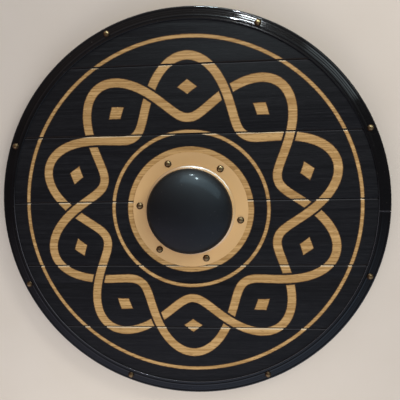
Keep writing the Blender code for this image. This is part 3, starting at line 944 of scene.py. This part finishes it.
def turned(outline, steps, start=0.0, sweep=360.0):
    """Spins an outline of (distance, height) points round Z into a skin with its faces outwards."""
    work = bmesh.new()
    points = [
        work.verts.new((distance * cos(radians(start)), distance * sin(radians(start)), height))
        for distance, height in outline
    ]
    lines = [work.edges.new(pair) for pair in zip(points, points[1:])]
    bmesh.ops.spin(
        work, geom=points + lines, cent=(0, 0, 0), axis=(0, 0, 1), angle=radians(sweep),
        steps=steps, use_merge=sweep == 360.0,
    )
    bmesh.ops.remove_doubles(work, verts=work.verts, dist=MERGE_WITHIN)
    bmesh.ops.recalc_face_normals(work, faces=work.faces)
    for face in work.faces:
        face.smooth = True
    return work


print("an arc of two steps:", arc((0.0, 0.0), 1.0, 0.0, 90.0, 2))

# %% [markdown]
# Softened edges
#
# A saw and a plane leave edges that look sharp, but sandpaper has always rounded them by a hair, and that
# hair is what catches the light. The solids of the boards and bars have the right shape, so each piece
# here is a merged copy of its solid. Triangles that lie in one plane are joined into one face, and then
# every edge that is still sharp gets a narrow bevel. The big flat faces stay flat and the rest is shaded
# smooth.

# %% Helper for softened copies
BIG_FACE = 1e-4                   # square metres: larger faces are shaded flat
ONE_PLANE = 0.5                   # degrees: faces that differ by less lie in one plane
SHARP_EDGE = 30.0                 # degrees between the faces of an edge that gets a bevel


def softened(node, roundness):
    """A merged copy of a solid's mesh with its sharp edges rounded."""
    work = bmesh.new()
    work.from_mesh(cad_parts[node].data)
    bmesh.ops.remove_doubles(work, verts=work.verts, dist=MERGE_WITHIN)
    bmesh.ops.dissolve_limit(work, angle_limit=radians(ONE_PLANE), verts=work.verts, edges=work.edges)
    sharp = [edge for edge in work.edges if edge.calc_face_angle(0.0) > radians(SHARP_EDGE)]
    bmesh.ops.bevel(
        work, geom=sharp, offset=roundness, offset_type="OFFSET", segments=2, profile=0.5,
        affect="EDGES", material=-1, clamp_overlap=True,
    )
    for face in work.faces:
        face.smooth = face.calc_area() < BIG_FACE
    return work


print("edges sharper than", SHARP_EDGE, "degrees are softened")

# %% [markdown]
# The boards
#
# Six boards run across the shield. Their long edges are cut at 45 degrees, so that two of them make a V
# where they meet. They are numbered from the top down, as their solids are. The slanted face on the lower
# edge of a board looks down the shield and out of its face, and it gets the second finish, painted shade.

# %% Boards
BOARD_ROUND = 0.0004
SLANT = 0.5                       # a slanted face's normal has more than this both ways
board_pieces = []
for number, finish in enumerate(board_finishes, start=1):
    work = softened(f"plank_{number}", BOARD_ROUND)
    # slants that face down the shield get the painted shade
    for face in work.faces:
        if face.normal.y < -SLANT and face.normal.z > SLANT:
            face.material_index = 1
    finishes = [finish, slant_shade]
    board_pieces.append(piece_from(f"board_{number}", work, finishes, f"plank_{number}"))
print("boards:", len(board_pieces), "faces on the first:", len(board_pieces[0].data.polygons))

# %% [markdown]
# Grip and battens
#
# The grip and the battens are bars with rounded edges. The grip rises where it crosses the hand hole, so
# that a hand closes on it. They keep the solids' countersunk holes, in which the screw heads sit.

# %% Grip and battens
BAR_ROUND = 0.0003
for node, finish in (
    ("grip", grip_finish),
    ("left_batten", left_batten_finish),
    ("right_batten", right_batten_finish),
):
    bar = piece_from(f"{node}_bar", softened(node, BAR_ROUND), [finish], node)
    print(bar.name, "has", len(bar.data.polygons), "faces")

# %% [markdown]
# The rim
#
# The rim is a strip of thin steel, rolled with ridges and folded over the edge of the boards. It is one
# outline with a thickness: round the lip, over the top with two broad ridges and two fine ones, round two
# corners and back along the underside. Spinning it almost a full turn leaves the seam open where the ends
# of the strip meet. The solidify operator then gives the skin its thickness inwards, which also closes
# the ends.

# %% Rim
RIM_SHEET = 0.0012
RIM_ROUND = 0.0032
RIM_TURN_STEPS = 240
LIP_ROUND = 0.0008                # of the inner edge on top
LIP_STEPS = 4
UPPER_STEPS = 8                   # of the outer corner on top
LOWER_STEPS = 6                   # of the outer corner underneath
RIM_RIDGES = (                    # distance of the middle from the inner edge, width, height
    (0.0050, 0.0034, 0.00040),
    (0.0092, 0.0018, 0.00010),
    (0.0118, 0.0018, 0.00010),
    (0.0158, 0.0034, 0.00040),
)
TOP_STEPS = 40
SEAM_WIDTH = 0.0008
rim_valley = rim_top - max(height for middle, width, height in RIM_RIDGES)


def ridged_top():
    """Points over the top, from the lip to the outer corner, with smooth ridges on a flat strip."""
    points = []
    for step in range(TOP_STEPS + 1):
        across = LIP_ROUND + (RIM_WIDTH - RIM_ROUND - LIP_ROUND) * step / TOP_STEPS
        level = rim_valley
        for middle, width, height in RIM_RIDGES:
            off = min(abs(across - middle) / width, 0.5)
            level += height * (1 + cos(2 * pi * off)) / 2
        points.append((shield_radius - RIM_WIDTH + across, level))
    return points


def rim_skin():
    inner, corner = shield_radius - RIM_WIDTH, shield_radius - RIM_ROUND
    outline = arc((inner + LIP_ROUND, rim_valley - LIP_ROUND), LIP_ROUND, 180.0, 90.0, LIP_STEPS)[:-1]
    outline += ridged_top()
    outline += arc((corner, rim_top - RIM_ROUND), RIM_ROUND, 90.0, 0.0, UPPER_STEPS)[1:]
    outline += arc((corner, rim_bottom + RIM_ROUND), RIM_ROUND, 0.0, -90.0, LOWER_STEPS)
    outline.append((inner, rim_bottom))
    gap = degrees(SEAM_WIDTH / shield_radius)
    return turned(outline, RIM_TURN_STEPS, SEAM_ANGLE + gap / 2, 360.0 - gap)


work = rim_skin()
bmesh.ops.solidify(work, geom=work.faces, thickness=RIM_SHEET)
open_edges = sum(not edge.is_manifold for edge in work.edges)
rim_piece = piece_from("rolled_rim", work, [rim_enamel], "rim")
rim_only.objects.link(rim_piece)
print("rim faces:", len(rim_piece.data.polygons), "open edges:", open_edges)

# %% [markdown]
# The boss
#
# A boss is spun from a disc of sheet steel, pressed over a form until it has a flat flange, a short neck
# and a dome. The outer skin is one outline: from the flange's edge inwards, through a fillet up the
# neck, and over the dome to the middle. Its thickness comes from solidify again. The dome is half an
# ellipse, upright at its foot and level at its top. Faces above the foot get the black paint, the flange
# and neck the two tans, and everything that faces the hand gets primer.

# %% Boss
BOSS_SHEET = 0.0015
FLANGE_EDGE = 0.0010              # width of a narrow strip of faces round the flange's edge
NECK_RADIUS = 0.066
NECK_FILLET = 0.005
FILLET_STEPS = 12
NECK_HEIGHT = 0.0138
BOSS_TURN_STEPS = 180
DOME_STEPS = 40
FLANGE, DOME, INSIDE, NECK = range(4)      # places in the list of finishes
flange_top = boss_under + BOSS_SHEET
dome_foot = flange_top + NECK_HEIGHT
dome_rise = boss_top - dome_foot


def boss_skin():
    fillet_middle = (NECK_RADIUS + NECK_FILLET, flange_top + NECK_FILLET)
    outline = [(flange_radius, flange_top), (flange_radius - FLANGE_EDGE, flange_top)]
    outline += arc(fillet_middle, NECK_FILLET, -90.0, -180.0, FILLET_STEPS)
    for step in range(DOME_STEPS + 1):
        turn = pi / 2 * step / DOME_STEPS
        outline.append((NECK_RADIUS * cos(turn), dome_foot + dome_rise * sin(turn)))
    outline[-1] = (0.0, boss_top)
    return turned(outline, BOSS_TURN_STEPS)


work = boss_skin()
bmesh.ops.solidify(work, geom=work.faces, thickness=BOSS_SHEET)
open_edges = sum(not edge.is_manifold for edge in work.edges)
heights = [vert.co.z for vert in work.verts]
for face in work.faces:
    spot = face.calc_center_median()
    outwards = face.normal.dot(Vector((spot.x, spot.y, spot.z - dome_foot + NECK_RADIUS))) > 0
    if not outwards:
        face.material_index = INSIDE
    elif spot.z > dome_foot:
        face.material_index = DOME
    elif spot.xy.length < NECK_RADIUS + NECK_FILLET:
        face.material_index = NECK
    else:
        face.material_index = FLANGE
boss_finishes = [flange_paint, dome_paint, inside_primer, neck_paint]
boss_piece = piece_from("spun_boss", work, boss_finishes, "boss")
boss_and_rivets.objects.link(boss_piece)
print("boss from", round(min(heights), 4), "to", round(max(heights), 4), "open edges:", open_edges)

# %% [markdown]
# Rivets
#
# A rivet is a short pin with a domed head, set through steel and wood and hammered over at the back. One
# outline makes it all: over the head, down under it to the shank, along the shank and out over the
# hammered tail. Both ends lie on the axis, so spinning it gives a closed solid at once. It is turned in
# the origin, and then moved to the middle of its own solid's box.

# %% Rivets
RIVET_TURN_STEPS = 28
RIVET_SHANK = 0.0020
RIVET_TAIL_RADIUS = 0.0040
RIVET_TAIL_HEIGHT = 0.0016
HEAD_EDGE = 0.0004                # height of the upright edge round a head
HEAD_STEPS = 7
TAIL_STEPS = 4


def cap(foot_radius, foot_height, top_height, steps, from_top):
    """Points over a dome from its middle to its foot, or back again."""
    rise = top_height - foot_height
    ball = (foot_radius**2 + rise**2) / (2 * abs(rise))
    middle = (0.0, top_height - ball if rise > 0 else top_height + ball)
    slope = degrees(asin(foot_radius / ball))
    upright = 90.0 if rise > 0 else -90.0
    foot = upright - slope if rise > 0 else upright + slope
    points = arc(middle, ball, upright, foot, steps)
    points[0] = (0.0, top_height)
    return points if from_top else points[::-1]


def rivet(top, seat, head_radius, tail_seat):
    outline = cap(head_radius, seat + HEAD_EDGE, top, HEAD_STEPS, from_top=True)
    outline += [(head_radius, seat), (RIVET_SHANK, seat), (RIVET_SHANK, tail_seat)]
    outline.append((RIVET_TAIL_RADIUS, tail_seat))
    edge, end = tail_seat - HEAD_EDGE, tail_seat - RIVET_TAIL_HEIGHT
    outline += cap(RIVET_TAIL_RADIUS, edge, end, TAIL_STEPS, from_top=False)
    return turned(outline, RIVET_TURN_STEPS)


rivet_nodes = sorted(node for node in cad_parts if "_rivet_" in node)
for node in rivet_nodes:
    low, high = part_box(node)
    middle = (low + high) / 2
    work = rivet(high.z, rivet_seat, (high.x - low.x) / 2, low.z + RIVET_TAIL_HEIGHT)
    bmesh.ops.translate(work, verts=work.verts, vec=(middle.x, middle.y, 0.0))
    boss_and_rivets.objects.link(piece_from(f"brass_{node}", work, [brass], node))
print("rivets:", len(rivet_nodes))

# %% [markdown]
# Wood screws
#
# The bars are held by countersunk screws with a crossed recess. The screw is turned like a rivet, with
# its flat head down. The recess is cut the way one would press it: the flat head is sliced along eight
# lines, the cross between them is picked out, pushed in and drawn together a little.

# %% Helpers for screws
SCREW_TURN_STEPS = 20
SCREW_SHANK = 0.0018
SCREW_HEAD_HEIGHT = 0.0025
SCREW_EDGE = 0.0002               # width and height of the slanted edge round the head
SCREW_POINT = 0.0040              # length of the tapered tip
CROSS_WIDTH = 0.0011
CROSS_LENGTH = 0.0046
CROSS_DEPTH = 0.0012
CROSS_TAPER = 0.7                 # its floor is this share of its mouth
SLICE_WITHIN = 1e-7               # metres: points this near a slice count as on it


def flat_head(work, bottom):
    """The faces of a screw that lie in the plane of its head."""
    return [face for face in work.faces if face.calc_center_median().z < bottom + MERGE_WITHIN]


def slice_head(work, bottom):
    """Cuts the flat head along the eight lines of the cross."""
    for side in (Vector((1, 0, 0)), Vector((0, 1, 0))):
        for offset in (-CROSS_LENGTH / 2, -CROSS_WIDTH / 2, CROSS_WIDTH / 2, CROSS_LENGTH / 2):
            flat = flat_head(work, bottom)
            around = {part for face in flat for part in (*face.verts, *face.edges)}
            bmesh.ops.bisect_plane(
                work, geom=flat + list(around), dist=SLICE_WITHIN, plane_co=side * offset, plane_no=side,
            )


def screw(bottom, top, head_radius):
    outline = [(0.0, bottom), (head_radius - SCREW_EDGE, bottom), (head_radius, bottom + SCREW_EDGE)]
    outline += [(SCREW_SHANK, bottom + SCREW_HEAD_HEIGHT), (SCREW_SHANK, top - SCREW_POINT), (0.0, top)]
    work = turned(outline[::-1], SCREW_TURN_STEPS)
    slice_head(work, bottom)
    cross = []
    for face in flat_head(work, bottom):
        spot = face.calc_center_median()
        short, long = sorted((abs(spot.x), abs(spot.y)))
        if short < CROSS_WIDTH / 2 and long < CROSS_LENGTH / 2:
            cross.append(face)
    pushed = bmesh.ops.extrude_face_region(work, geom=cross)["geom"]
    floor_points = [part for part in pushed if isinstance(part, bmesh.types.BMVert)]
    bmesh.ops.delete(work, geom=cross, context="FACES")
    bmesh.ops.translate(work, verts=floor_points, vec=(0.0, 0.0, CROSS_DEPTH))
    bmesh.ops.scale(work, verts=floor_points, vec=(CROSS_TAPER, CROSS_TAPER, 1.0))
    return work


print("a cross is", CROSS_LENGTH, "m long")

# %% [markdown]
# Driving them in
#
# Nobody stops every screw at the same angle, so each is turned a little further than the one before. As
# with the rivets, it is made in the origin and then moved to the middle of its own solid's box.

# %% Screws
SCREW_TURN = 37.0                 # degrees from one screw to the next
screw_nodes = sorted(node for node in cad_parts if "_screw_" in node)
for number, node in enumerate(screw_nodes):
    low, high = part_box(node)
    middle = (low + high) / 2
    work = screw(low.z, high.z, (high.x - low.x) / 2)
    open_edges = sum(not edge.is_manifold for edge in work.edges)
    turn = Matrix.Rotation(radians(number * SCREW_TURN), 3, "Z")
    bmesh.ops.rotate(work, verts=work.verts, cent=(0, 0, 0), matrix=turn)
    bmesh.ops.translate(work, verts=work.verts, vec=(middle.x, middle.y, 0.0))
    piece_from(f"zinc_{node}", work, [zinc], node)
print("screws:", len(screw_nodes), "open edges on the last:", open_edges)

# %% [markdown]
# The floor
#
# The shield lies on a pale, matt floor that is large enough to fill the view from any side. The lamps stand
# near the shield and leave the far floor dim, so it is made to glow a little more with distance.

# %% Floor
FLOOR_SIZE = 14.0
GLOW_FROM = (0.8, 2.6)            # distance from the middle where the glow starts, and where it is full
FLOOR_GLOW = (0.26, 0.24, 0.22, 1.0)
NO_GLOW = (0.0, 0.0, 0.0, 1.0)
FLOOR_TONES = (screen_colour(213, 202, 187), screen_colour(220, 210, 197))
FLOOR_LUMPS = 9.0                 # to the metre
floor_work = bmesh.new()
bmesh.ops.create_grid(floor_work, x_segments=1, y_segments=1, size=FLOOR_SIZE / 2)
floor_mesh = bpy.data.meshes.new("floor")
floor_work.to_mesh(floor_mesh)
floor_work.free()
floor_paint, floor_tree, floor_shader = start_material("pale floor", Roughness=0.85)
floor_place = object_place(floor_tree)
mottle = even_clouds(floor_tree, floor_place, FLOOR_LUMPS, detail=4.0)
feed(floor_tree, floor_shader.inputs["Base Color"], tint(floor_tree, mottle, *FLOOR_TONES))
away = from_axis(floor_tree, parts_of(floor_tree, floor_place))
glow = tint(floor_tree, fade(floor_tree, away, *GLOW_FROM), NO_GLOW, FLOOR_GLOW)
feed(floor_tree, floor_shader.inputs["Emission Color"], glow)
floor_shader.inputs["Emission Strength"].default_value = 1.0
floor_mesh.materials.append(floor_paint)
floor = bpy.data.objects.new("floor", floor_mesh)
bpy.context.scene.collection.objects.link(floor)
print("floor:", FLOOR_SIZE, "m across")
